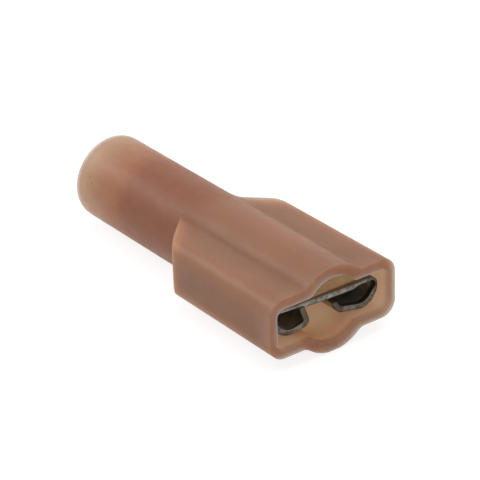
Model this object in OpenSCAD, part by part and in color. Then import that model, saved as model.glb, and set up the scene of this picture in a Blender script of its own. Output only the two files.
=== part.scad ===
// Fully insulated female spade terminal for a 6.35 x 0.8 mm tab, in millimetres.
// One nylon moulding holds a stamped receptacle and the sleeve that backs its crimp barrel.
// +X points out of the tab mouth, Z is up, and the origin is the centre of the mouth on the barrel's axis.

/* [Shroud] */
// Outside width of the flat shroud
shroud_w = 8.6; // [8.2:0.1:10.4]
// Outside thickness of the shroud's flats
shroud_t = 3.6; // [3.4:0.1:4.2]
// Length of the shroud at its full width, from the mouth
shroud_len = 8.95; // [8.6:0.05:10]
// Radius of the shroud's four long outer edges
edge_r = 0.95; // [0.4:0.05:1.4]
// Wall at the shroud's two sides
side_wall = 0.5; // [0.4:0.05:0.8]
// Wall over the receptacle's flat base
top_wall = 0.6; // [0.4:0.05:0.8]
// Wall under the receptacle's rolls
bottom_wall = 0.5; // [0.4:0.05:0.7]
// Radius of the cavity's four long inner corners
cavity_r = 0.45; // [0.2:0.05:0.7]
// Plan radius where each side turns into its shoulder
shoulder_r = 0.9; // [0.3:0.1:1.6]

/* [Barrel] */
// Length of the whole housing
housing_len = 21.2; // [18.5:0.1:26]
// Outside radius of the barrel at the mouth
mouth_r = 2.58; // [2.45:0.01:2.9]
// Outside radius of the barrel at its wire end
rear_r = 2.64; // [2.5:0.01:3]
// Radius of the channel that the crimp barrel passes on its way in
channel_r = 1.92; // [1.75:0.01:2.1]
// Distance from the wire end to the step that stops the sleeve
entry_len = 4.4; // [3:0.1:5.5]
// Radius of the funnel at the wire end
funnel_r = 2.25; // [2:0.05:2.35]
// Depth of the funnel
funnel_len = 1; // [0.5:0.1:1.6]

// Width of the flat along the barrel's underside that it lies on
rest_flat_w = 0.8; // [0.3:0.1:1.2]

/* [Receptacle] */
// Thickness of the mating tab
tab_t = 0.8; // [0.5:0.05:0.85]
// How much the springs close on the tab
tab_nip = 0.08; // [0.04:0.01:0.15]
// Thickness of the stamped sheet
sheet_t = 0.34; // [0.28:0.01:0.4]
// Side clearance between receptacle and cavity
side_gap = 0.05; // [0.02:0.01:0.15]
// Depth of the receptacle's edge behind the mouth
recess = 1; // [0.5:0.1:1.6]
// Length of the rolled receptacle
receptacle_len = 7.2; // [6.2:0.1:7.4]
// Overall height of the rolled receptacle
receptacle_h = 1.7; // [1.6:0.05:1.75]
// Width of the slot between the two rolls
slot_w = 1.9; // [1.4:0.1:2.8]
// Inside radius of the bends beside the base
base_bend_r = 0.3; // [0.15:0.05:0.4]
// Inside radius of the bends at the foot of the side walls
side_bend_r = 0.6; // [0.2:0.05:0.7]
// Inside radius of the bends that turn up the spring legs
leg_bend_r = 0.15; // [0.1:0.05:0.25]
// How far the base's front corners slant back
corner_setback = 0.15; // [0:0.05:0.4]
// Width of the base's straight front edge
tongue_w = 3.4; // [2:0.1:5]

/* [Detent] */
// Distance of the detent dimple behind the receptacle's front edge
detent_x = 3.9; // [2.5:0.1:5]
// Radius of the dimple's ball
detent_ball_r = 0.9; // [0.6:0.05:1.2]
// Height of the dimple under the base
detent_h = 0.2; // [0.1:0.05:0.35]

/* [Crimp barrel] */
// Bore radius of the crimp barrel
crimp_r = 0.86; // [0.7:0.02:0.95]
// Length of the crimp barrel
crimp_len = 4.6; // [3.6:0.1:5]
// Length of the neck between receptacle and crimp barrel
neck_len = 2.1; // [1.6:0.1:2.4]
// Width of the neck where it leaves the base
neck_w = 4.6; // [3.6:0.1:5.6]
// How much the neck's flanks widen from the crimp barrel to the base
neck_flare = 0.5; // [0.2:0.05:0.6]
// Gap of the barrel's butted seam
seam_gap = 0.06; // [0.03:0.01:0.12]

/* [Support sleeve] */
// Wall of the support sleeve
sleeve_wall = 0.3; // [0.2:0.02:0.36]
// Overall length of the sleeve
sleeve_len = 6.1; // [5:0.1:6.3]
// Length of the wide skirt that holds the insulation
skirt_len = 1.7; // [1:0.1:2.4]
// Length of the cone between collar and skirt
cone_len = 0.6; // [0.4:0.1:1]

/* [Hidden] */
$fn = 96;
// Overlap by which one solid is pushed into the next, and a cut past a face
lap = 0.2;

half_w = shroud_w / 2;
cavity_w = shroud_w - 2 * side_wall;
cavity_top = shroud_t / 2 - top_wall;
cavity_floor = bottom_wall - shroud_t / 2;
// A 45 degree shoulder keeps the side wall's thickness when its inside corner comes forward by this much
shoulder_shift = side_wall * tan(22.5);
step_x = entry_len - housing_len;
// The wire's bore runs on flush into the sleeve's skirt
entry_r = channel_r - sleeve_wall;

receptacle_w = cavity_w - 2 * side_gap;
front_x = -recess;
receptacle_end_x = front_x - receptacle_len;
base_top = cavity_floor + receptacle_h;
base_under = base_top - sheet_t;
leg_top = base_under - (tab_t - tab_nip);
crimp_outer_r = crimp_r + sheet_t;
crimp_x = receptacle_end_x - neck_len;

salmon_nylon = [0.66, 0.46, 0.34, 0.85];
tin_plate = [0.70, 0.69, 0.66];
sleeve_tin = [0.62, 0.56, 0.47];

// Stands a flat shape, drawn with its first axis along Y and its second along Z, along X from x0 to x1
module along_x(x0, x1) {
    translate([x0, 0, 0])
        rotate([90, 0, 90])
            linear_extrude(x1 - x0)
                children();
}

// A round body or bore on the X axis from x0, with radius r0, to x1, with radius r1
module round_along_x(x0, x1, r0, r1) {
    translate([x0, 0, 0])
        rotate([0, 90, 0])
            cylinder(h = x1 - x0, r1 = r0, r2 = r1);
}

// Rectangle from y = -w/2 to w/2 and z0 to z1, with corners of radius r
module rounded_section(w, z0, z1, r) {
    translate([-w / 2 + r, z0])
        square([w - 2 * r, z1 - z0]);
    translate([-w / 2, z0 + r])
        square([w, z1 - z0 - 2 * r]);
    for (y = [-w / 2 + r, w / 2 - r], z = [z0 + r, z1 - r])
        translate([y, z])
            circle(r);
}

// Plan of the shroud: straight sides to -len, rounded there with radius r, then 45 degrees in to half width tip
module shroud_plan(half, len, tip, front, r) {
    tangent = r * tan(22.5);
    tail = len + half - tip;
    difference() {
        polygon([
            [front, -half], [front, half], [-len, half], [-tail, tip],
            [-tail, -tip], [-len, -half]
        ]);
        for (side = [-1, 1])
            scale([1, side])
                difference() {
                    polygon([
                        [-len + tangent, half],
                        [-len + tangent, half + lap],
                        [-len - tangent, half + lap],
                        [-len - tangent * cos(45) - lap, half - tangent * sin(45)],
                        [-len - tangent * cos(45), half - tangent * sin(45)]
                    ]);
                    translate([-len + tangent, half - r])
                        circle(r);
                }
    }
}

// The shroud's solid: its section along X, trimmed to its plan
module shroud_body(half, z0, z1, r, len, tip, front, plan_r) {
    tail = len + half - tip;
    intersection() {
        along_x(-tail, front)
            rounded_section(2 * half, z0, z1, r);
        translate([0, 0, z0 - lap])
            linear_extrude(z1 - z0 + 2 * lap)
                shroud_plan(half, len, tip, front, plan_r);
    }
}

// Takes a narrow flat off the underside, along the whole length, for the housing to lie on
module rest_flat() {
    below = -max(mouth_r, rear_r) - lap;
    rotate([90, 0, 0])
        translate([0, 0, -rest_flat_w])
            linear_extrude(2 * rest_flat_w)
                polygon([
                    [-housing_len - lap, -sqrt(rear_r ^ 2 - rest_flat_w ^ 2 / 4)],
                    [lap, -sqrt(mouth_r ^ 2 - rest_flat_w ^ 2 / 4)],
                    [lap, below], [-housing_len - lap, below]
                ]);
}

module housing() {
    color(salmon_nylon)
        difference() {
            union() {
                shroud_body(half_w, -shroud_t / 2, shroud_t / 2, edge_r, shroud_len, mouth_r - lap, 0, shoulder_r);
                round_along_x(-housing_len, 0, rear_r, mouth_r);
            }
            rest_flat();
            shroud_body(cavity_w / 2, cavity_floor, cavity_top, cavity_r,
                        shroud_len - shoulder_shift, channel_r - lap, lap, shoulder_r);
            round_along_x(step_x, lap, channel_r, channel_r);
            round_along_x(-housing_len - lap, step_x + lap, entry_r, entry_r);
            round_along_x(-housing_len, -housing_len + funnel_len, funnel_r, entry_r);
        }
}

// Quarter ring of sheet: it starts at the origin heading along +Y of the section and bends towards -Z
module bend(inner_r) {
    outer_r = inner_r + sheet_t;
    translate([0, -outer_r])
        intersection() {
            difference() {
                circle(outer_r);
                circle(inner_r);
            }
            square(outer_r + lap);
        }
}

// Section of folded sheet. Each step is [straight length, inside radius of the bend after it];
// the sheet's outer face starts at the origin and each bend turns a quarter clockwise.
module folded_sheet(steps, i = 0) {
    if (i < len(steps)) {
        length = steps[i][0];
        radius = steps[i][1];
        translate([0, -sheet_t])
            square([length, sheet_t]);
        if (i + 1 < len(steps))
            translate([length, 0]) {
                bend(radius);
                translate([radius + sheet_t, -radius - sheet_t])
                    rotate(-90)
                        folded_sheet(steps, i + 1);
            }
    }
}

// One half of the receptacle's section: base, side wall, flat foot and upturned spring leg
module receptacle_half() {
    base_out = base_bend_r + sheet_t;
    side_out = side_bend_r + sheet_t;
    leg_out = leg_bend_r + sheet_t;
    translate([0, base_top])
        folded_sheet([
            [receptacle_w / 2 - base_out, base_bend_r],
            [receptacle_h - base_out - side_out, side_bend_r],
            [receptacle_w / 2 - side_out - slot_w / 2 - leg_out, leg_bend_r],
            [leg_top - cavity_floor - leg_out, 0]
        ]);
}

// Plan that slants back the front corners of the base and the tops of the rolls
module receptacle_plan() {
    half = receptacle_w / 2;
    polygon([
        [receptacle_end_x, -half - lap], [front_x - corner_setback, -half - lap],
        [front_x, -tongue_w / 2], [front_x, tongue_w / 2],
        [front_x - corner_setback, half + lap], [receptacle_end_x, half + lap]
    ]);
}

// Neck: a ramp of sheet that climbs from the base to the crimp barrel's roof, narrowing as it goes,
// and two flanks that widen from the barrel's walls towards the base
module neck() {
    root_x = receptacle_end_x + lap;
    intersection() {
        rotate([90, 0, 0])
            translate([0, 0, -neck_w / 2])
                linear_extrude(neck_w)
                    polygon([
                        [root_x, base_under], [root_x, base_top],
                        [crimp_x, crimp_outer_r], [crimp_x, crimp_r + sheet_t / 4]
                    ]);
        linear_extrude(crimp_outer_r)
            polygon([
                [root_x, -neck_w / 2], [root_x, neck_w / 2],
                [crimp_x, crimp_r / 2], [crimp_x, -crimp_r / 2]
            ]);
    }
    intersection() {
        difference() {
            round_along_x(crimp_x, root_x, crimp_outer_r, crimp_outer_r + neck_flare);
            round_along_x(crimp_x, root_x, crimp_r, crimp_r + neck_flare);
        }
        rotate([90, 0, 0])
            translate([0, 0, -neck_w / 2])
                linear_extrude(neck_w)
                    polygon([
                        [root_x, base_under], [root_x, base_top],
                        [crimp_x, crimp_outer_r], [crimp_x, -crimp_r / 2]
                    ]);
    }
}

module crimp_barrel() {
    difference() {
        round_along_x(crimp_x - crimp_len, crimp_x, crimp_outer_r, crimp_outer_r);
        round_along_x(crimp_x - crimp_len - lap, crimp_x + lap, crimp_r, crimp_r);
        translate([crimp_x - crimp_len - lap, -seam_gap / 2, -crimp_outer_r - lap])
            cube([crimp_len + 2 * lap, seam_gap, crimp_outer_r]);
    }
}

module terminal() {
    detent_place = [front_x - detent_x, 0, base_under + detent_ball_r - detent_h];
    color(tin_plate)
        difference() {
            union() {
                intersection() {
                    along_x(receptacle_end_x, front_x) {
                        receptacle_half();
                        mirror([1, 0])
                            receptacle_half();
                    }
                    translate([0, 0, cavity_floor - lap])
                        linear_extrude(receptacle_h + 2 * lap)
                            receptacle_plan();
                }
                intersection() {
                    translate(detent_place)
                        sphere(detent_ball_r);
                    translate(detent_place + [0, 0, -detent_ball_r])
                        cube([2 * detent_ball_r, 2 * detent_ball_r, 2 * (detent_h + sheet_t / 2)], center = true);
                }
                neck();
                crimp_barrel();
            }
            translate(detent_place + [0, 0, sheet_t])
                sphere(detent_ball_r);
        }
}

// The sleeve's half section, turned about X: a collar on the crimp barrel, a cone and a wide skirt
module support_sleeve() {
    collar_r = crimp_outer_r + sleeve_wall;
    skirt_x = step_x + skirt_len;
    cone_x = skirt_x + cone_len;
    nose_x = step_x + sleeve_len;
    color(sleeve_tin)
        rotate([0, 90, 0])
            rotate_extrude()
                polygon([
                    [channel_r - sleeve_wall, step_x], [channel_r, step_x], [channel_r, skirt_x],
                    [collar_r, cone_x], [collar_r, nose_x], [crimp_outer_r, nose_x],
                    [crimp_outer_r, cone_x], [channel_r - sleeve_wall, skirt_x]
                ]);
}

housing();
terminal();
support_sleeve();
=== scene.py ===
from collections import namedtuple

import bpy
import numpy as np
from mathutils import Matrix, Vector

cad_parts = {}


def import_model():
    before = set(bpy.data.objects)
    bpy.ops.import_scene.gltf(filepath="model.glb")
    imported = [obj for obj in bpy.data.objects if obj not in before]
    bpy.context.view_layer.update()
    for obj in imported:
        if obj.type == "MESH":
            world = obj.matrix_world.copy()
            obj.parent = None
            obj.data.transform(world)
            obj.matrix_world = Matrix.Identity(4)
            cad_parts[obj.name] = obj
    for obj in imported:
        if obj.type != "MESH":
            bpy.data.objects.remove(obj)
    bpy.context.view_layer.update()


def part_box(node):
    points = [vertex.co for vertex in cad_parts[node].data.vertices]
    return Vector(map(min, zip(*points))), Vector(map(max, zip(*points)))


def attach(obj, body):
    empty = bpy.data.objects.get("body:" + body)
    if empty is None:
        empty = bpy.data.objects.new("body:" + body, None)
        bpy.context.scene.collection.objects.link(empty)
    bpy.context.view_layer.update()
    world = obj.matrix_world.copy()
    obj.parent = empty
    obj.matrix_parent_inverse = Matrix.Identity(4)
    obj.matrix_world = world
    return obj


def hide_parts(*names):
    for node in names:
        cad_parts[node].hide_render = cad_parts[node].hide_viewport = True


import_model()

MM = 0.001

# ---- Sizes, in millimetres, in the CAD frame: +X out of the mouth, Z up, origin in the mouth's centre ----

# The housing's outside: a flat shroud with 45 degree shoulders, and a barrel that tapers a little
HOUSING_LOW, HOUSING_HIGH = (Vector(corner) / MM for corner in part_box("housing"))
HOUSING_LEN = -HOUSING_LOW.x
SHROUD_HALF_W = HOUSING_HIGH.y
SHROUD_HALF_T = 1.8
SHROUD_LEN = 8.95
SHROUD_EDGE = 0.95
SHOULDER_BLEND = 0.3
SHOULDER_TOP_BLEND = 0.1
MOUTH_R = 2.58
REAR_R = HOUSING_HIGH.z
CREASE_BLEND = 0.22
REST_FLAT_HALF_W = 0.4

# Its inside: the receptacle's cavity, the crimp barrel's channel, a step, the wire's bore and its funnel
CAVITY_HALF_W = 3.8
CAVITY_LOW = -1.3
CAVITY_HIGH = 1.2
CAVITY_EDGE = 0.45
CAVITY_LEN = 8.74
CHANNEL_R = 1.92
CHANNEL_BLEND = 0.12
STEP_X = -16.8
ENTRY_R = 1.62
FUNNEL_R = 2.25
FUNNEL_LEN = 1.0

# Its rounded edges
FRONT_ROUND = 0.05
MOUTH_ROUND = 0.045
REAR_ROUND = 0.1
FUNNEL_ROUND = 0.08

# The terminal's sheet and receptacle
SHEET_T = 0.34
SHEET_ROUND = 0.07
FRONT_X = -1.0
RECEPTACLE_LEN = 7.2
RECEPTACLE_H = 1.7
BASE_TOP = CAVITY_LOW + RECEPTACLE_H
BASE_BEND_R = 0.15
SLOT_HALF_W = 0.95

# Its front edge: corners and legs stand back, the edge is a little askew, and beside an uncoined tongue
# the inner face is coined, except on the feet
LEAD_IN_LEN = 1.6
CORNER_SETBACK = 0.08
LEG_SETBACK = 0.5
FRONT_SKEW = 0.05
SKEW_Y = -1.0
TONGUE_HALF_W = 1.6
TONGUE_Y = 0.5
COIN_DEPTH = 0.2
COIN_LEN = 0.9
COIN_STARTS = TONGUE_HALF_W - 0.1
COIN_FULL = TONGUE_HALF_W + 0.15
COIN_LOW = CAVITY_LOW + 0.6
COIN_HIGH = BASE_TOP - 0.4

# The dimple that catches the tab's hole
DETENT_X = FRONT_X - 3.9
DETENT_DEPTH = 0.2
DETENT_REACH = 0.42

# Neck and crimp barrel
NECK_HALF_W = 2.3
NECK_LEN = 2.1
NECK_OVERLAP = 0.2
NECK_LEAST_CURL = 0.02
CRIMP_R = 0.86
CRIMP_LEN = 4.6
SEAM_HALF_GAP = 0.03

# Support sleeve
SLEEVE_WALL = 0.3
SLEEVE_LEN = 6.1
SKIRT_LEN = 1.7
CONE_LEN = 0.6
SLEEVE_ROUND = 0.07

# ---- How finely the meshes are cut ----

# Round the housing: angles, with more of them where the corners and creases lie, in degrees from the side
SKIN_ANGLES = 384
ANGLE_SAMPLES = 7200
CORNERS_FROM = 8
CORNERS_TO = 50
CORNER_EXTRA = 2.5

# The skin's radius is looked for between these two, by halving
SKIN_LEAST_R = 0.4
SKIN_MOST_R = 6.0
HALVINGS = 36

# Along the housing: stations lie closer together on the shoulders, which end at these x
OUTER_SHOULDERS_REAR = -12.1
OUTER_SHOULDERS_FRONT = -8.2
INNER_SHOULDERS_FRONT = -7.9
INNER_SHOULDERS_REAR = -11.2
STATION_GAP = 0.1
STEP_GAP = 0.08
BARREL_STATIONS = 24
OUTER_SHOULDER_STATIONS = 60
SIDE_STATIONS = 26
CAVITY_STATIONS = 30
INNER_SHOULDER_STATIONS = 50
CHANNEL_STATIONS = 12
ROUND_STATIONS = 7

# Across the sheet
STRAIGHT_STEPS = 8
BEND_STEPS = 10
FREE_EDGE_POINTS = 4
NECK_POINTS = 65

# Along the sheet: stations, and the gaps between one stretch of them and the next
SHEET_END_STATIONS = 5
LEAD_IN_STATIONS = 14
BODY_STATIONS = 46
NECK_STATIONS = 22
CRIMP_STATIONS = 14
SHEET_END_GAP = 0.12
BODY_GAP = 0.15
CRIMP_GAP = 0.3

SLEEVE_ANGLES = 160

# ---- Mesh helpers ----


def smooth_min(a, b, width):
    """The lesser of two distances, rounded over where they are within width of each other."""
    near = np.maximum(width - np.abs(a - b), 0) / width
    return np.minimum(a, b) - near * near * width / 4


def smooth_step(value, start, end):
    """0 before start, 1 after end, and an even S between them."""
    share = np.clip((value - start) / (end - start), 0, 1)
    return share * share * (3 - 2 * share)


def rounding(radius, steps):
    """A quarter round from one face to the next, as pairs: how far from the second and from the first."""
    turn = np.linspace(0, np.pi / 2, steps)
    return [(radius * (1 - np.sin(t)), radius * (1 - np.cos(t))) for t in turn]


def soft_corners(points, reach, steps=4, most=0.45):
    """A polyline whose inner corners are curves that start and end reach away from them,
    or at most that share of the way to the next corner."""
    points = [np.array(point, float) for point in points]
    result = [points[0]]
    for before, corner, after in zip(points, points[1:], points[2:]):
        to_before = before - corner
        to_after = after - corner
        start = corner + to_before * min(reach / np.linalg.norm(to_before), most)
        end = corner + to_after * min(reach / np.linalg.norm(to_after), most)
        for share in np.linspace(0, 1, steps + 1):
            result.append(start * (1 - share) ** 2 + corner * 2 * share * (1 - share) + end * share ** 2)
    result.append(points[-1])
    return result


def add_object(name, data):
    """A new object in the scene."""
    item = bpy.data.objects.new(name, data)
    bpy.context.scene.collection.objects.link(item)
    return item


def mesh_object(name, vertices, faces):
    """A smooth-shaded mesh object from millimetre vertices, with its flats kept flat."""
    mesh = bpy.data.meshes.new(name)
    mesh.from_pydata([tuple(v) for v in np.asarray(vertices) * MM], [], faces)
    mesh.validate()
    mesh.update()
    piece = add_object(name, mesh)
    for polygon in mesh.polygons:
        polygon.use_smooth = True
    normals = piece.modifiers.new("flats", "WEIGHTED_NORMAL")
    normals.keep_sharp = True
    return piece


def ring_faces(rings, around, close_rings):
    """Quads between rings of points, each ring closed on itself."""
    faces = []
    last = rings if close_rings else rings - 1
    for ring in range(last):
        here = ring * around
        there = (ring + 1) % rings * around
        for i in range(around):
            j = (i + 1) % around
            faces.append((here + i, here + j, there + j, there + i))
    return faces


# ---- Housing: a skin wrapped round the barrel and shroud, in at the mouth and out at the wire end ----


def barrel_radius(x):
    """Outside radius of the barrel, which tapers evenly from mouth to wire end."""
    return MOUTH_R + (REAR_R - MOUTH_R) * -x / HOUSING_LEN


def slab_distance(across, z, low, high, edge):
    """Distance to a slab from low to high, given the distance across it, with its long edges rounded."""
    side = across + edge
    up = np.abs(z - (low + high) / 2) - (high - low) / 2 + edge
    outside = np.hypot(np.maximum(side, 0), np.maximum(up, 0))
    return outside + np.minimum(np.maximum(side, up), 0) - edge


def shroud_distance(x, y, z, half_w, length, low, high, edge):
    """Distance to a rounded slab that two 45 degree shoulders cut off behind length.
    The turn from side to shoulder is round, and the cut's edge on the flats is nearly sharp."""
    slab = slab_distance(np.abs(y) - half_w, z, low, high, edge)
    shoulder = (np.abs(y) - half_w - length - x) * np.sqrt(0.5)
    from_middle = np.abs(z - (low + high) / 2)
    half_t = (high - low) / 2
    on_flat = smooth_step(from_middle, half_t - edge, half_t)
    blend = SHOULDER_BLEND + (SHOULDER_TOP_BLEND - SHOULDER_BLEND) * on_flat
    return -smooth_min(-slab, -shoulder, blend)


def outer_distance(x, y, z):
    """Distance to the outside: shroud and barrel with soft creases between them, cut by the resting flat."""
    shroud = shroud_distance(x, y, z, SHROUD_HALF_W, SHROUD_LEN, -SHROUD_HALF_T, SHROUD_HALF_T, SHROUD_EDGE)
    barrel = np.hypot(y, z) - barrel_radius(x)
    rest_flat = -z - np.sqrt(barrel_radius(x) ** 2 - REST_FLAT_HALF_W ** 2)
    return np.maximum(smooth_min(shroud, barrel, CREASE_BLEND), rest_flat)


def inner_distance(x, y, z):
    """Distance to the inside before the step: the cavity and the channel, with soft creases between them."""
    cavity = shroud_distance(x, y, z, CAVITY_HALF_W, CAVITY_LEN, CAVITY_LOW, CAVITY_HIGH, CAVITY_EDGE)
    channel = np.hypot(y, z) - CHANNEL_R
    return smooth_min(cavity, channel, CHANNEL_BLEND)


def skin_radii(distance, stations, angles):
    """For each station (x, offset), the radius at each angle where the distance equals the offset."""
    x = np.array([station[0] for station in stations])[:, None]
    offset = np.array([station[1] for station in stations])[:, None]
    low = np.full((len(stations), len(angles)), SKIN_LEAST_R)
    high = np.full_like(low, SKIN_MOST_R)
    for _ in range(HALVINGS):
        middle = (low + high) / 2
        inside = distance(x, middle * np.cos(angles), middle * np.sin(angles)) < offset
        low = np.where(inside, middle, low)
        high = np.where(inside, high, middle)
    return (low + high) / 2


def skin_angles():
    """Angles round the axis, closer together where the shroud's corners and creases lie."""
    fine = np.linspace(0, 2 * np.pi, ANGLE_SAMPLES, endpoint=False)
    from_side = np.degrees(np.abs((fine + np.pi / 2) % np.pi - np.pi / 2))
    weight = 1 + CORNER_EXTRA * ((from_side > CORNERS_FROM) & (from_side < CORNERS_TO))
    share = np.cumsum(weight) / np.sum(weight)
    return np.interp((np.arange(SKIN_ANGLES) + 0.5) / SKIN_ANGLES, share, fine)


def outer_stations():
    """The outer skin from the wire end to the mouth: each an x, and how far the skin is offset there."""
    rear = [(-HOUSING_LEN + back, -inward) for back, inward in rounding(REAR_ROUND, ROUND_STATIONS)[::-1]]
    barrel = np.linspace(-HOUSING_LEN + 2 * REAR_ROUND, OUTER_SHOULDERS_REAR - STATION_GAP, BARREL_STATIONS)
    shoulders = np.linspace(OUTER_SHOULDERS_REAR, OUTER_SHOULDERS_FRONT, OUTER_SHOULDER_STATIONS)
    sides = np.linspace(OUTER_SHOULDERS_FRONT + STATION_GAP, -2 * FRONT_ROUND, SIDE_STATIONS)
    front = [(-back, -inward) for back, inward in rounding(FRONT_ROUND, ROUND_STATIONS)]
    return rear + [(x, 0) for x in (*barrel, *shoulders, *sides)] + front


def inner_stations():
    """The inner skin from the mouth to the step: each an x, and how far the skin is offset there."""
    mouth = [(-back, outward) for outward, back in rounding(MOUTH_ROUND, ROUND_STATIONS)]
    cavity = np.linspace(-2 * MOUTH_ROUND, INNER_SHOULDERS_FRONT + STATION_GAP, CAVITY_STATIONS)
    shoulders = np.linspace(INNER_SHOULDERS_FRONT, INNER_SHOULDERS_REAR, INNER_SHOULDER_STATIONS)
    channel = np.linspace(INNER_SHOULDERS_REAR - 3 * STATION_GAP, STEP_X + STATION_GAP, CHANNEL_STATIONS)
    return mouth + [(x, 0) for x in (*cavity, *shoulders, *channel)]


def entry_profile():
    """The inner skin from the step to the wire end, by the wire's bore and funnel: each an x and a radius."""
    funnel_x = -HOUSING_LEN + FUNNEL_LEN
    return np.array(soft_corners([
        (STEP_X + STEP_GAP, CHANNEL_R), (STEP_X, CHANNEL_R), (STEP_X, ENTRY_R), (funnel_x, ENTRY_R),
        (-HOUSING_LEN, FUNNEL_R), (-HOUSING_LEN, FUNNEL_R + FUNNEL_ROUND),
    ], FUNNEL_ROUND))


def housing():
    """Outer skin, inner skin and entry as one closed grid of stations by angles."""
    angles = skin_angles()
    outer = outer_stations()
    inner = inner_stations()
    entry = entry_profile()
    x = np.concatenate([[station[0] for station in outer + inner], entry[:, 0]])
    radii = np.concatenate([
        skin_radii(outer_distance, outer, angles), skin_radii(inner_distance, inner, angles),
        np.repeat(entry[:, 1:], len(angles), axis=1),
    ])
    vertices = np.stack([
        np.repeat(x[:, None], len(angles), axis=1), radii * np.cos(angles), radii * np.sin(angles),
    ], axis=2).reshape(-1, 3)
    return mesh_object("housing_skin", vertices, ring_faces(len(x), len(angles), True))


# ---- Terminal: one folded sheet for the receptacle, and a second sweep for the neck and crimp barrel ----


def folded_line(steps):
    """Points and heading angles of a line that starts along +Y and turns clockwise after each straight.
    Each step is (straight length, radius, degrees) of the sheet's middle line."""
    place = np.zeros(2)
    heading = 0.0
    points = []
    headings = []
    for length, radius, degrees in steps:
        forward = np.array([np.cos(heading), np.sin(heading)])
        for share in np.linspace(0, 1, STRAIGHT_STEPS + 1)[:-1]:
            points.append(place + forward * length * share)
            headings.append(heading)
        place = place + forward * length
        centre = place + radius * np.array([np.sin(heading), -np.cos(heading)])
        for turned in np.radians(np.linspace(0, degrees, BEND_STEPS + 1))[:-1]:
            angle = heading - turned
            points.append(centre + radius * np.array([-np.sin(angle), np.cos(angle)]))
            headings.append(angle)
        heading -= np.radians(degrees)
        place = centre + radius * np.array([-np.sin(heading), np.cos(heading)])
    points.append(place)
    headings.append(heading)
    return np.array(points), np.array(headings)


def free_edge(point, outward, up, half):
    """A sheet's rounded free edge round a point of its middle line, from the face on the up side down."""
    turn = rounding(SHEET_ROUND, FREE_EDGE_POINTS)
    upper = [point - outward * back + up * (half - inward) for back, inward in turn]
    lower = [point - outward * back - up * (half - inward) for back, inward in turn[::-1]]
    return upper + lower


def sheet_section(points, headings, thickness, coined=0.0):
    """Closed outline of a sheet round its middle line, its two free edges rounded.
    The inner face can be coined, which thins the sheet by a length at each point."""
    normals = np.stack([-np.sin(headings), np.cos(headings)], axis=1)
    along = np.stack([np.cos(headings), np.sin(headings)], axis=1)
    half = thickness / 2
    top = points + normals * half
    under = (points - normals * half + normals * np.reshape(coined, (-1, 1)))[::-1]
    end = free_edge(points[-1], along[-1], normals[-1], half)
    start = free_edge(points[0], -along[0], -normals[0], half)
    return np.concatenate([top[1:-1], end, under[1:-1], start])


# One roll beside the slot: half width of the base on its side, the side bend's inside radius, the foot's
# climb towards the slot in degrees, and the upturned leg's bend radius and its length in front and behind
Roll = namedtuple("Roll", "half_w side_r climb leg_r leg_front leg_rear")
RIGHT_ROLL = Roll(half_w=3.75, side_r=0.8, climb=11, leg_r=0.15, leg_front=0.12, leg_rear=0.2)
LEFT_ROLL = Roll(half_w=3.28, side_r=0.85, climb=13, leg_r=0.15, leg_front=0.5, leg_rear=0.2)


def receptacle_half(x, roll):
    """Middle line of half the receptacle at x: base, side wall, foot that climbs to the slot, upright leg."""
    middle = SHEET_T / 2
    share = smooth_step(FRONT_X - x, 0, LEAD_IN_LEN)
    leg_len = roll.leg_front + (roll.leg_rear - roll.leg_front) * share
    side_r = roll.side_r + middle
    climb = np.radians(roll.climb)
    base = roll.half_w - BASE_BEND_R - SHEET_T
    wall = RECEPTACLE_H - BASE_BEND_R - roll.side_r - 2 * SHEET_T
    arc_end = roll.half_w - middle - side_r * (1 + np.sin(climb))
    foot = (arc_end - SLOT_HALF_W - middle - roll.leg_r) / np.cos(climb)
    points, headings = folded_line([
        (base, BASE_BEND_R + middle, 90), (wall, side_r, 90 + roll.climb),
        (foot, roll.leg_r + middle, 90 - roll.climb), (leg_len, middle, 0),
    ])
    return points + [0, BASE_TOP - middle], headings


def coining(x, points):
    """How much the receptacle's inner face is coined at x: on the base and its bends, beside the tongue."""
    from_tongue = np.abs(points[:, 0] - TONGUE_Y)
    beside_tongue = smooth_step(from_tongue, COIN_STARTS, COIN_FULL)
    off_feet = smooth_step(points[:, 1], COIN_LOW, COIN_HIGH)
    return COIN_DEPTH * smooth_step(x, FRONT_X - COIN_LEN, FRONT_X) * beside_tongue * off_feet


def receptacle_section(x, thickness):
    right, right_headings = receptacle_half(x, RIGHT_ROLL)
    left, left_headings = receptacle_half(x, LEFT_ROLL)
    points = np.concatenate([left[:0:-1] * [-1, 1], right])
    headings = np.concatenate([-left_headings[:0:-1], right_headings])
    return sheet_section(points, headings, thickness, coining(x, points) * thickness / SHEET_T)


def place_receptacle(x, section):
    """Stands a section at x, with the front edge's set-back corners and legs, its skew, and the dimple."""
    y = section[:, 0]
    z = section[:, 1].copy()
    fade = smooth_step(x, FRONT_X - LEAD_IN_LEN, FRONT_X)
    setback = CORNER_SETBACK * smooth_step(np.abs(y), TONGUE_HALF_W, RIGHT_ROLL.half_w)
    on_leg = (np.abs(y) < 2 * SLOT_HALF_W) & (z < BASE_TOP - 1.5 * SHEET_T)
    setback = setback + LEG_SETBACK * on_leg * smooth_step(z, CAVITY_LOW + SHEET_T, BASE_TOP - SHEET_T)
    moved_x = x - fade * setback + fade * FRONT_SKEW * (y - SKEW_Y)
    on_base = smooth_step(z, BASE_TOP - 2 * SHEET_T, BASE_TOP - SHEET_T)
    away = np.hypot(x - DETENT_X, y) / DETENT_REACH
    z -= DETENT_DEPTH * on_base * np.exp(-away ** 4)
    return np.stack([moved_x, y, z], axis=1)


def strip_cap(first, around):
    """Faces that close a sheet section: quads from its top line to its under line."""
    half = around // 2
    ring = [first + i for i in range(around)]
    return [(ring[i], ring[i + 1], ring[around - 2 - i], ring[around - 1 - i]) for i in range(half - 1)]


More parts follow.
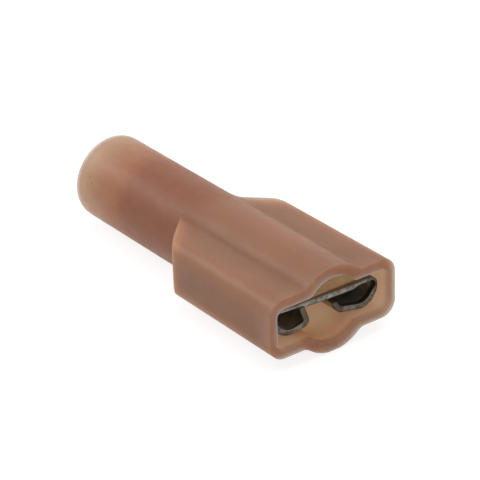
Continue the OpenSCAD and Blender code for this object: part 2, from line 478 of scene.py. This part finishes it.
def sweep_sheet(stations, section_at, place):
    """Vertices and faces of a sheet swept through stations, its end edges rounded."""
    turn = rounding(SHEET_ROUND, SHEET_END_STATIONS)
    front = [(stations[0] - back, SHEET_T - 2 * inward) for inward, back in turn]
    rear = [(stations[-1] + back, SHEET_T - 2 * inward) for inward, back in turn[::-1]]
    rows = front + [(x, SHEET_T) for x in stations[1:-1]] + rear
    # Each ring is turned to start halfway round its first free edge, where a cap's top and under lines meet
    rings = [np.roll(place(x, section_at(x, thickness)), FREE_EDGE_POINTS, axis=0) for x, thickness in rows]
    around = len(rings[0])
    faces = ring_faces(len(rows), around, False)
    faces += strip_cap(0, around)
    faces += [tuple(reversed(face)) for face in strip_cap((len(rows) - 1) * around, around)]
    return np.concatenate(rings), faces


def neck_section(x, thickness):
    """Flat strip at the receptacle that curls into the crimp barrel's ring, its seam underneath."""
    share = smooth_step(FRONT_X - RECEPTACLE_LEN - x, 0, NECK_LEN)
    ring_r = CRIMP_R + SHEET_T / 2
    curvature = max(share, NECK_LEAST_CURL) / ring_r
    ring_half = np.pi * ring_r - SEAM_HALF_GAP
    half = NECK_HALF_W + (ring_half - NECK_HALF_W) * share
    height = (BASE_TOP - SHEET_T / 2) * (1 - share) + ring_r * share
    turned = np.linspace(-half, half, NECK_POINTS) * curvature
    points = np.stack([np.sin(turned) / curvature, height - (1 - np.cos(turned)) / curvature], axis=1)
    return sheet_section(points, -turned, thickness)


def place_plain(x, section):
    """Stands a section at x as it is."""
    return np.column_stack([np.full(len(section), x), section])


def terminal():
    """The receptacle, and the neck and crimp barrel that start inside its rear end, as one mesh."""
    rear_x = FRONT_X - RECEPTACLE_LEN
    lead_in_x = FRONT_X - LEAD_IN_LEN
    receptacle = np.concatenate([
        [FRONT_X], np.linspace(FRONT_X - SHEET_END_GAP, lead_in_x, LEAD_IN_STATIONS),
        np.linspace(lead_in_x - BODY_GAP, rear_x + SHEET_END_GAP, BODY_STATIONS), [rear_x],
    ])
    vertices, faces = sweep_sheet(receptacle, receptacle_section, place_receptacle)
    neck_x = rear_x + NECK_OVERLAP
    crimp_x = rear_x - NECK_LEN
    crimp_end = crimp_x - CRIMP_LEN
    neck = np.concatenate([
        [neck_x], np.linspace(neck_x - SHEET_END_GAP, crimp_x, NECK_STATIONS),
        np.linspace(crimp_x - CRIMP_GAP, crimp_end + SHEET_END_GAP, CRIMP_STATIONS), [crimp_end],
    ])
    more_vertices, more_faces = sweep_sheet(neck, neck_section, place_plain)
    count = len(vertices)
    faces += [tuple(index + count for index in face) for face in more_faces]
    return mesh_object("terminal_sheet", np.concatenate([vertices, more_vertices]), faces)


# ---- Support sleeve: collar, cone and skirt turned about the axis ----


def support_sleeve():
    """A skirt that fills the channel by the step, a cone, and a collar close round the crimp barrel."""
    collar_inner = CRIMP_R + SHEET_T
    collar_outer = collar_inner + SLEEVE_WALL
    skirt_inner = CHANNEL_R - SLEEVE_WALL
    skirt_middle = CHANNEL_R - SLEEVE_WALL / 2
    skirt_x = STEP_X + SKIRT_LEN
    cone_x = skirt_x + CONE_LEN
    nose_x = STEP_X + SLEEVE_LEN
    profile = soft_corners([
        (STEP_X, skirt_middle), (STEP_X, CHANNEL_R), (skirt_x, CHANNEL_R), (cone_x, collar_outer),
        (nose_x, collar_outer), (nose_x, collar_inner), (cone_x, collar_inner),
        (skirt_x, skirt_inner), (STEP_X, skirt_inner), (STEP_X, skirt_middle),
    ], SLEEVE_ROUND)[:-1]
    angles = np.linspace(0, 2 * np.pi, SLEEVE_ANGLES, endpoint=False)
    vertices = [(x, r * np.cos(a), r * np.sin(a)) for x, r in profile for a in angles]
    return mesh_object("sleeve_turning", vertices, ring_faces(len(profile), len(angles), True))


# ---- Materials ----


class Nodes:
    """Builds a material's node tree in few words."""

    def __init__(self, name):
        self.material = bpy.data.materials.new(name)
        self.material.use_nodes = True
        self.tree = self.material.node_tree
        self.shader = self.tree.nodes["Principled BSDF"]
        coordinates = self.add("ShaderNodeTexCoord")
        self.place = self.vector("SCALE", coordinates.outputs["Object"], scale=1 / MM)
        self.x = self.split(self.place).outputs["X"]
        self.normal = coordinates.outputs["Normal"]

    def add(self, kind):
        return self.tree.nodes.new(kind)

    def join(self, source, target):
        self.tree.links.new(source, target)

    def feed(self, source, target):
        if isinstance(source, bpy.types.NodeSocket):
            self.join(source, target)
        else:
            target.default_value = source

    def split(self, vector):
        node = self.add("ShaderNodeSeparateXYZ")
        self.join(vector, node.inputs[0])
        return node

    def vector(self, operation, first, second=None, scale=None):
        node = self.add("ShaderNodeVectorMath")
        node.operation = operation
        self.feed(first, node.inputs[0])
        if second is not None:
            self.feed(second, node.inputs[1])
        if scale is not None:
            self.feed(scale, node.inputs["Scale"])
        return node.outputs["Value" if operation in ("LENGTH", "DISTANCE") else "Vector"]

    def math(self, operation, first, second=0.0):
        node = self.add("ShaderNodeMath")
        node.operation = operation
        self.feed(first, node.inputs[0])
        self.feed(second, node.inputs[1])
        return node.outputs[0]

    def noise(self, size, detail=3.0, roughness=0.6, stretch=(1, 1, 1)):
        """Noise from 0 to 1 whose features are about size millimetres, longer along the stretched axes."""
        node = self.add("ShaderNodeTexNoise")
        self.join(self.vector("DIVIDE", self.place, stretch), node.inputs["Vector"])
        node.inputs["Scale"].default_value = 1 / size
        node.inputs["Detail"].default_value = detail
        node.inputs["Roughness"].default_value = roughness
        return node.outputs[0]

    def ramp(self, value, start, end, low=0.0, high=1.0):
        node = self.add("ShaderNodeMapRange")
        node.interpolation_type = "SMOOTHSTEP"
        self.feed(value, node.inputs["Value"])
        node.inputs["From Min"].default_value = start
        node.inputs["From Max"].default_value = end
        node.inputs["To Min"].default_value = low
        node.inputs["To Max"].default_value = high
        return node.outputs["Result"]

    def mix(self, share, first, second):
        node = self.add("ShaderNodeMix")
        node.data_type = "RGBA"
        self.feed(share, node.inputs["Factor"])
        self.feed(first, node.inputs["A"])
        self.feed(second, node.inputs["B"])
        return node.outputs["Result"]

    def bump(self, height, strength, distance):
        node = self.add("ShaderNodeBump")
        node.inputs["Strength"].default_value = strength
        node.inputs["Distance"].default_value = distance * MM
        self.join(height, node.inputs["Height"])
        self.join(node.outputs[0], self.shader.inputs["Normal"])

    def set(self, **values):
        for name, value in values.items():
            self.feed(value, self.shader.inputs[name.replace("_", " ")])


# Noise lies mostly between these two values
NOISE_SPAN = (0.3, 0.7)


def colour(red, green, blue):
    """A linear colour from display values 0 to 255."""
    display = np.array([red, green, blue]) / 255
    linear = np.where(display > 0.04045, ((display + 0.055) / 1.055) ** 2.4, display / 12.92)
    return (*linear.tolist(), 1.0)


# Where the nylon's tones give way to each other, as stretches along X in millimetres
PALE_TO_WARM = (-20.2, -17.2)
WARM_TO_SLEEVE = (-18.0, -15.8)
SLEEVE_TO_SHROUD = (-12.2, -8.6)
SHROUD_TO_MOUTH = (-4.0, 0.0)
MOUTH_TO_LIP = (-0.25, -0.05)
WIRE_RIM_LEN = 0.9
LIP_TO_INSIDE = (-0.6, -0.1)
INSIDE_TO_DEEP = (-2.6, -0.8)
INSIDE_TO_SLEEVE = (-12.5, -11.0)
# How far into the wall the inside's tone fades out, and how far the clouds shift the outside's tones along X
WALL_FADE = (0.02, 0.2)
CLOUD_SHIFT = 2.2

PALE_TONE = colour(182, 140, 112)
# Painted shade: the warm and sleeve tones darken the barrel towards and over the crimp barrel and its sleeve
# inside
WARM_TONE = colour(176, 116, 84)
SLEEVE_PAINTED_SHADE = colour(158, 95, 68)
SHROUD_TONE = colour(174, 117, 89)
# Painted shade: the nylon is darker towards the mouth and its front face
MOUTH_PAINTED_SHADE = colour(144, 99, 77)
# Painted shade on the mouth's lip
LIP_PAINTED_SHADE = colour(130, 84, 62)
# Painted shade on the rim of the wire end, against its glow
WIRE_RIM_PAINTED_SHADE = colour(146, 104, 86)
MOTTLE_TONE = colour(174, 116, 84)
FLOW_TONE = colour(138, 84, 58)
SPECK_TONE = colour(96, 66, 50)
# Painted light: lighter tones for the walls inside the cavity and channel, as if lit through the nylon
INSIDE_PAINTED_LIGHT = colour(219, 147, 109)
DEEP_PAINTED_LIGHT = colour(255, 180, 136)

# How far red, green and blue light wanders in the nylon, in millimetres: outside, and deep in the cavity,
# where red light goes so far that the walls glow orange
REACH = (5.6, 4.9, 4.2, 1.0)
DEEP_REACH = (16.0, 6.9, 5.2, 1.0)

# The frosted skin is less glossy where it is seen aslant, between these two shares of Layer Weight's Facing
NYLON_IOR = 1.53
NYLON_GLOSS = 0.22
ASLANT_GLOSS = 0.08
ASLANT = (0.5, 0.95)

# Three dark specks in the pale end, and their size
SPECKS = ((-19.97, -2.37, 1.16), (-19.67, -2.48, 0.9), (-20.25, -2.6, -0.41))
SPECK_R = 0.08


def inside_housing(n):
    """1 on the walls of the cavity and the channel's front, 0 on the outside and round the sleeve: where the
    nylon's tone is painted lighter.
    """
    parts = n.split(n.place)
    z = parts.outputs["Z"]
    beyond_side = n.math("SUBTRACT", n.math("ABSOLUTE", parts.outputs["Y"]), CAVITY_HALF_W)
    beyond_top = n.math("SUBTRACT", z, CAVITY_HIGH)
    beyond_floor = n.math("SUBTRACT", CAVITY_LOW, z)
    beyond_shoulder = n.math("SUBTRACT", n.math("SUBTRACT", beyond_side, n.x), CAVITY_LEN)
    beyond_cavity = n.math("MAXIMUM", beyond_side, n.math("MAXIMUM", beyond_top, beyond_floor))
    beyond_cavity = n.math("MAXIMUM", beyond_cavity, beyond_shoulder)
    from_axis = n.vector("LENGTH", n.vector("MULTIPLY", n.place, (0, 1, 1)))
    beyond_channel = n.math("SUBTRACT", from_axis, CHANNEL_R)
    inside = n.ramp(n.math("MINIMUM", beyond_cavity, beyond_channel), *WALL_FADE, low=1, high=0)
    behind_lip = n.ramp(n.x, *LIP_TO_INSIDE, low=1, high=0)
    before_sleeve = n.ramp(n.x, *INSIDE_TO_SLEEVE)
    return n.math("MULTIPLY", n.math("MULTIPLY", inside, behind_lip), before_sleeve)


def nylon_outside(n):
    """The tones outside, from the wire end to the mouth, with painted shade where the crimp and sleeve lie
    inside, towards the mouth, on its lip and on the wire end's rim, and with cloudy mottling, flow lines and
    specks.
    """
    cloud = n.noise(size=1.6)
    along = n.math("ADD", n.x, n.math("MULTIPLY", n.math("SUBTRACT", cloud, 0.5), CLOUD_SHIFT))
    tone = n.mix(n.ramp(along, *PALE_TO_WARM), PALE_TONE, WARM_TONE)
    # Painted shade of the crimp barrel and sleeve seen through the wall
    tone = n.mix(n.ramp(along, *WARM_TO_SLEEVE), tone, SLEEVE_PAINTED_SHADE)
    tone = n.mix(n.ramp(along, *SLEEVE_TO_SHROUD), tone, SHROUD_TONE)
    # Painted shade, darker towards the mouth
    tone = n.mix(n.ramp(n.x, *SHROUD_TO_MOUTH), tone, MOUTH_PAINTED_SHADE)
    # Painted shade on the lip, darker at the very edge
    tone = n.mix(n.ramp(n.x, *MOUTH_TO_LIP, high=0.35), tone, LIP_PAINTED_SHADE)
    # Painted shade on the wire end's rim
    at_wire_rim = n.ramp(n.x, -HOUSING_LEN, -HOUSING_LEN + WIRE_RIM_LEN, low=0.7, high=0)
    tone = n.mix(at_wire_rim, tone, WIRE_RIM_PAINTED_SHADE)
    mottle = n.noise(size=0.9, detail=4)
    tone = n.mix(n.ramp(mottle, *NOISE_SPAN, high=0.25), tone, MOTTLE_TONE)
    flow = n.noise(size=0.35, roughness=0.55, stretch=(7, 1, 1))
    tone = n.mix(n.ramp(flow, 0.35, 0.75, high=0.12), tone, FLOW_TONE)
    for place in SPECKS:
        away = n.vector("DISTANCE", n.place, place)
        tone = n.mix(n.ramp(away, SPECK_R / 3, SPECK_R, low=0.6, high=0), tone, SPECK_TONE)
    return tone


def nylon():
    """Translucent salmon nylon: pale at the wire end, with painted shade where the crimp and its sleeve lie
    inside, and lit through on the walls inside the mouth, by the subsurface light and by lighter tones
    painted there."""
    n = Nodes("nylon")
    inside = inside_housing(n)
    deep = n.math("MULTIPLY", inside, n.ramp(n.x, *INSIDE_TO_DEEP, low=1, high=0))
    # Painted light: lighter tones on the walls inside, lighter still deeper in
    tone = n.mix(inside, nylon_outside(n), INSIDE_PAINTED_LIGHT)
    tone = n.mix(deep, tone, DEEP_PAINTED_LIGHT)
    aslant = n.add("ShaderNodeLayerWeight").outputs["Facing"]
    n.set(
        Base_Color=tone,
        Roughness=n.ramp(n.noise(size=0.6, roughness=0.5), *NOISE_SPAN, low=0.36, high=0.46),
        Subsurface_Weight=1,
        Subsurface_Radius=n.mix(deep, REACH, DEEP_REACH),
        Subsurface_Scale=MM,
        IOR=NYLON_IOR,
        Specular_IOR_Level=n.ramp(aslant, *ASLANT, low=NYLON_GLOSS, high=ASLANT_GLOSS),
    )
    n.bump(n.noise(size=0.07), strength=0.25, distance=0.012)
    return n.material


# The stamping: tin on its faces, and the blotched metals of its sheared front edge
TIN_TONE = colour(188, 182, 168)
TIN_SHADE = colour(160, 152, 138)
TARNISH_TONE = colour(140, 124, 98)
SHEARED_DARK = colour(92, 88, 80)
SHEARED_PALE = colour(146, 143, 134)
# Painted highlight: bluish glints on the sheared edge
SHEARED_PAINTED_GLINT = colour(158, 168, 182)
BARE_BRASS = colour(84, 72, 54)
# Painted shade: the legs by the slot are darker and browner
LEG_PAINTED_SHADE = colour(84, 68, 50)
# Painted shade on the sheet's faces just behind the front edge
BESIDE_EDGE_PAINTED_SHADE = colour(52, 46, 40)

# Where the sheared edge's tones give way to others: along X behind it, along Y from the slot, and along Z
EDGE_TO_SHEET = (FRONT_X - 1.0, FRONT_X - 0.9)
SHEET_TO_EDGE = (FRONT_X - 0.3, FRONT_X - 0.12)
LEG_TO_FOOT = (SLOT_HALF_W + 0.3, SLOT_HALF_W + 0.6)
LEG_TO_BASE = (-0.3, -0.1)


def sheared_edge(n, grain):
    """Tone of the sheared front edge: blotched tin, painted glints, bare brass, and painted shade on the legs
    by the slot.
    """
    blotch = n.noise(size=0.3, detail=4, roughness=0.65)
    tone = n.mix(n.ramp(blotch, 0.36, 0.6), SHEARED_DARK, SHEARED_PALE)
    # Painted glints in spots of the grain
    tone = n.mix(n.ramp(grain, 0.52, 0.68, high=0.6), tone, SHEARED_PAINTED_GLINT)
    tone = n.mix(n.ramp(grain, 0.3, 0.42, low=0.6, high=0), tone, BARE_BRASS)
    parts = n.split(n.place)
    by_slot = n.ramp(n.math("ABSOLUTE", parts.outputs["Y"]), *LEG_TO_FOOT, low=0.8, high=0)
    below_base = n.ramp(parts.outputs["Z"], *LEG_TO_BASE, low=1, high=0)
    # Painted shade on the legs by the slot, below the base
    return n.mix(n.math("MULTIPLY", by_slot, below_base), tone, LEG_PAINTED_SHADE)


def tin_plate():
    """Dull tin over brass: faint rolling lines along the sheet and cloudy patches. In front, the sheared
    edge is blotched with painted glints, and the sheet's two faces carry painted shade beside it."""
    n = Nodes("tin_plate")
    lines = n.noise(size=0.05, stretch=(14, 1, 1))
    cloud = n.noise(size=0.8)
    grain = n.noise(size=0.12)
    facing = n.split(n.normal).outputs["X"]
    on_edge = n.math("MULTIPLY", n.ramp(facing, 0.4, 0.8), n.ramp(n.x, *EDGE_TO_SHEET))
    # Painted shade on the faces beside the front edge
    shade_beside_edge = n.math("MULTIPLY", n.ramp(facing, 0.3, 0.75, low=0.8, high=0), n.ramp(n.x, *SHEET_TO_EDGE))
    tone = n.mix(n.ramp(lines, *NOISE_SPAN), TIN_TONE, TIN_SHADE)
    tone = n.mix(n.ramp(cloud, 0.52, 0.75, high=0.5), tone, TARNISH_TONE)
    tone = n.mix(on_edge, tone, sheared_edge(n, grain))
    tone = n.mix(shade_beside_edge, tone, BESIDE_EDGE_PAINTED_SHADE)
    n.set(Base_Color=tone, Roughness=n.ramp(cloud, 0.3, 0.75, low=0.38, high=0.58), Metallic=1)
    n.bump(n.math("ADD", lines, n.math("MULTIPLY", grain, on_edge)), strength=0.3, distance=0.007)
    return n.material


# The support sleeve
COPPER_TONE = colour(206, 186, 160)
COPPER_SHADE = colour(184, 160, 132)
DULL_COPPER = colour(150, 118, 90)


def sleeve_metal():
    """Tinned copper sleeve with faint turning lines round it and a few dull patches."""
    n = Nodes("sleeve_metal")
    turning = n.noise(size=0.06, detail=2, roughness=0.5, stretch=(1, 20, 20))
    cloud = n.noise(size=1.1)
    tone = n.mix(n.ramp(turning, *NOISE_SPAN), COPPER_TONE, COPPER_SHADE)
    tone = n.mix(n.ramp(cloud, 0.5, 0.8, high=0.5), tone, DULL_COPPER)
    n.set(Base_Color=tone, Roughness=n.ramp(cloud, 0.3, 0.75, low=0.3, high=0.46), Metallic=1)
    n.bump(turning, strength=0.3, distance=0.006)
    return n.material


# ---- Stage: camera, floor, world and lamps ----

AZIMUTH = 54.096
ELEVATION = 27.821
ROLL = 2.077
LENS = 163.9
SENSOR_W = 36
CAMERA_DISTANCE = 124.355
CAMERA_TARGET = Vector((-9.749, 1.014, -0.102))
# In metres
NEAREST_SEEN = 0.001
FURTHEST_SEEN = 10

FLOOR_HALF_W = 1500
# Each tone of the stage is a pair: for the light that it throws on the object, and for what is seen of it
PAPER_TONES = (0.3, 0.35)
PAPER_GLOW = (0.36, 0.83)
SKY_TONES = (0.5, 1.0)


def camera():
    """The photo's viewpoint: azimuth and elevation about the target, and a slight roll."""
    az, el, roll = (np.radians(a) for a in (AZIMUTH, ELEVATION, ROLL))
    towards = Vector((np.sin(az) * np.cos(el), -np.cos(az) * np.cos(el), np.sin(el)))
    level = Vector((np.cos(az), np.sin(az), 0))
    up = towards.cross(level)
    right = level * np.cos(roll) - up * np.sin(roll)
    up = up * np.cos(roll) + level * np.sin(roll)
    data = bpy.data.cameras.new("camera")
    data.lens = LENS
    data.sensor_width = SENSOR_W
    data.clip_start = NEAREST_SEEN
    data.clip_end = FURTHEST_SEEN
    holder = add_object("camera", data)
    turn = Matrix((right, up, towards)).transposed()
    place = (CAMERA_TARGET + towards * CAMERA_DISTANCE) * MM
    holder.matrix_world = Matrix.Translation(place) @ turn.to_4x4()
    bpy.context.scene.camera = holder


def seen_ray(tree):
    """1 for rays that show the stage, straight on, in a reflection or through glass, else 0."""
    rays = tree.nodes.new("ShaderNodeLightPath")
    seen = rays.outputs["Is Camera Ray"]
    for kind in ("Is Glossy Ray", "Is Transmission Ray"):
        either = tree.nodes.new("ShaderNodeMath")
        either.operation = "MAXIMUM"
        tree.links.new(seen, either.inputs[0])
        tree.links.new(rays.outputs[kind], either.inputs[1])
        seen = either.outputs[0]
    return seen


def two_tones(tree, factor, lighting, shown):
    """A grey that is one tone where it lights the object and another where it is seen."""
    tone = tree.nodes.new("ShaderNodeMix")
    tone.data_type = "RGBA"
    tone.inputs["A"].default_value = (lighting, lighting, lighting, 1)
    tone.inputs["B"].default_value = (shown, shown, shown, 1)
    tree.links.new(factor, tone.inputs["Factor"])
    return tone.outputs["Result"]


def floor_material():
    """White paper with a light shadow; it throws back less light on the object than it shows.
    From below it is clear, so that the object's underside can be seen."""
    material = bpy.data.materials.new("floor")
    material.use_nodes = True
    tree = material.node_tree
    tree.nodes.clear()
    seen = seen_ray(tree)
    paper = tree.nodes.new("ShaderNodeBsdfDiffuse")
    tree.links.new(two_tones(tree, seen, *PAPER_TONES), paper.inputs["Color"])
    glow = tree.nodes.new("ShaderNodeEmission")
    tree.links.new(two_tones(tree, seen, *PAPER_GLOW), glow.inputs["Color"])
    both = tree.nodes.new("ShaderNodeAddShader")
    tree.links.new(paper.outputs[0], both.inputs[0])
    tree.links.new(glow.outputs[0], both.inputs[1])
    one_sided = tree.nodes.new("ShaderNodeMixShader")
    tree.links.new(tree.nodes.new("ShaderNodeNewGeometry").outputs["Backfacing"], one_sided.inputs["Fac"])
    tree.links.new(both.outputs[0], one_sided.inputs[1])
    tree.links.new(tree.nodes.new("ShaderNodeBsdfTransparent").outputs[0], one_sided.inputs[2])
    output = tree.nodes.new("ShaderNodeOutputMaterial")
    tree.links.new(one_sided.outputs[0], output.inputs["Surface"])
    return material


def floor():
    """A sheet of paper that the object lies on."""
    half = FLOOR_HALF_W * MM
    level = HOUSING_LOW.z * MM
    corners = [(-half, -half, level), (half, -half, level), (half, half, level), (-half, half, level)]
    mesh = bpy.data.meshes.new("floor")
    mesh.from_pydata(corners, [], [(0, 1, 2, 3)])
    mesh.materials.append(floor_material())
    add_object("floor", mesh)


def world():
    """White to the camera and in reflections, and a softer grey where it lights the object."""
    sky = bpy.data.worlds.new("world")
    bpy.context.scene.world = sky
    sky.use_nodes = True
    tree = sky.node_tree
    tree.nodes.clear()
    light = tree.nodes.new("ShaderNodeBackground")
    tree.links.new(two_tones(tree, seen_ray(tree), *SKY_TONES), light.inputs["Color"])
    output = tree.nodes.new("ShaderNodeOutputWorld")
    tree.links.new(light.outputs[0], output.inputs["Surface"])


def lamp(name, direction, distance, size, power):
    """A square soft box at a distance in metres from the part's middle, facing it."""
    data = bpy.data.lights.new(name, "AREA")
    data.shape = "SQUARE"
    data.size = size
    data.energy = power
    box = add_object(name, data)
    towards = Vector(direction).normalized()
    middle = Vector((-HOUSING_LEN / 2, 0, 0)) * MM
    turn = towards.to_track_quat("Z", "Y").to_matrix().to_4x4()
    box.matrix_world = Matrix.Translation(middle + towards * distance) @ turn


def lights():
    lamp("rim", direction=(-0.72, -0.41, 0.56), distance=0.4, size=0.18, power=0.35)
    lamp("top", direction=(0.1, 0.1, 1.0), distance=0.5, size=0.4, power=0.6)


# ---- Put together ----


def dress(piece, node, material):
    """Puts a piece with its material in the place of a CAD node."""
    piece.data.materials.append(material)
    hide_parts(node)
    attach(piece, "root")


dress(housing(), "housing", nylon())
dress(terminal(), "terminal", tin_plate())
dress(support_sleeve(), "support_sleeve", sleeve_metal())

camera()
floor()
world()
lights()
bpy.context.scene.view_settings.view_transform = "Standard"
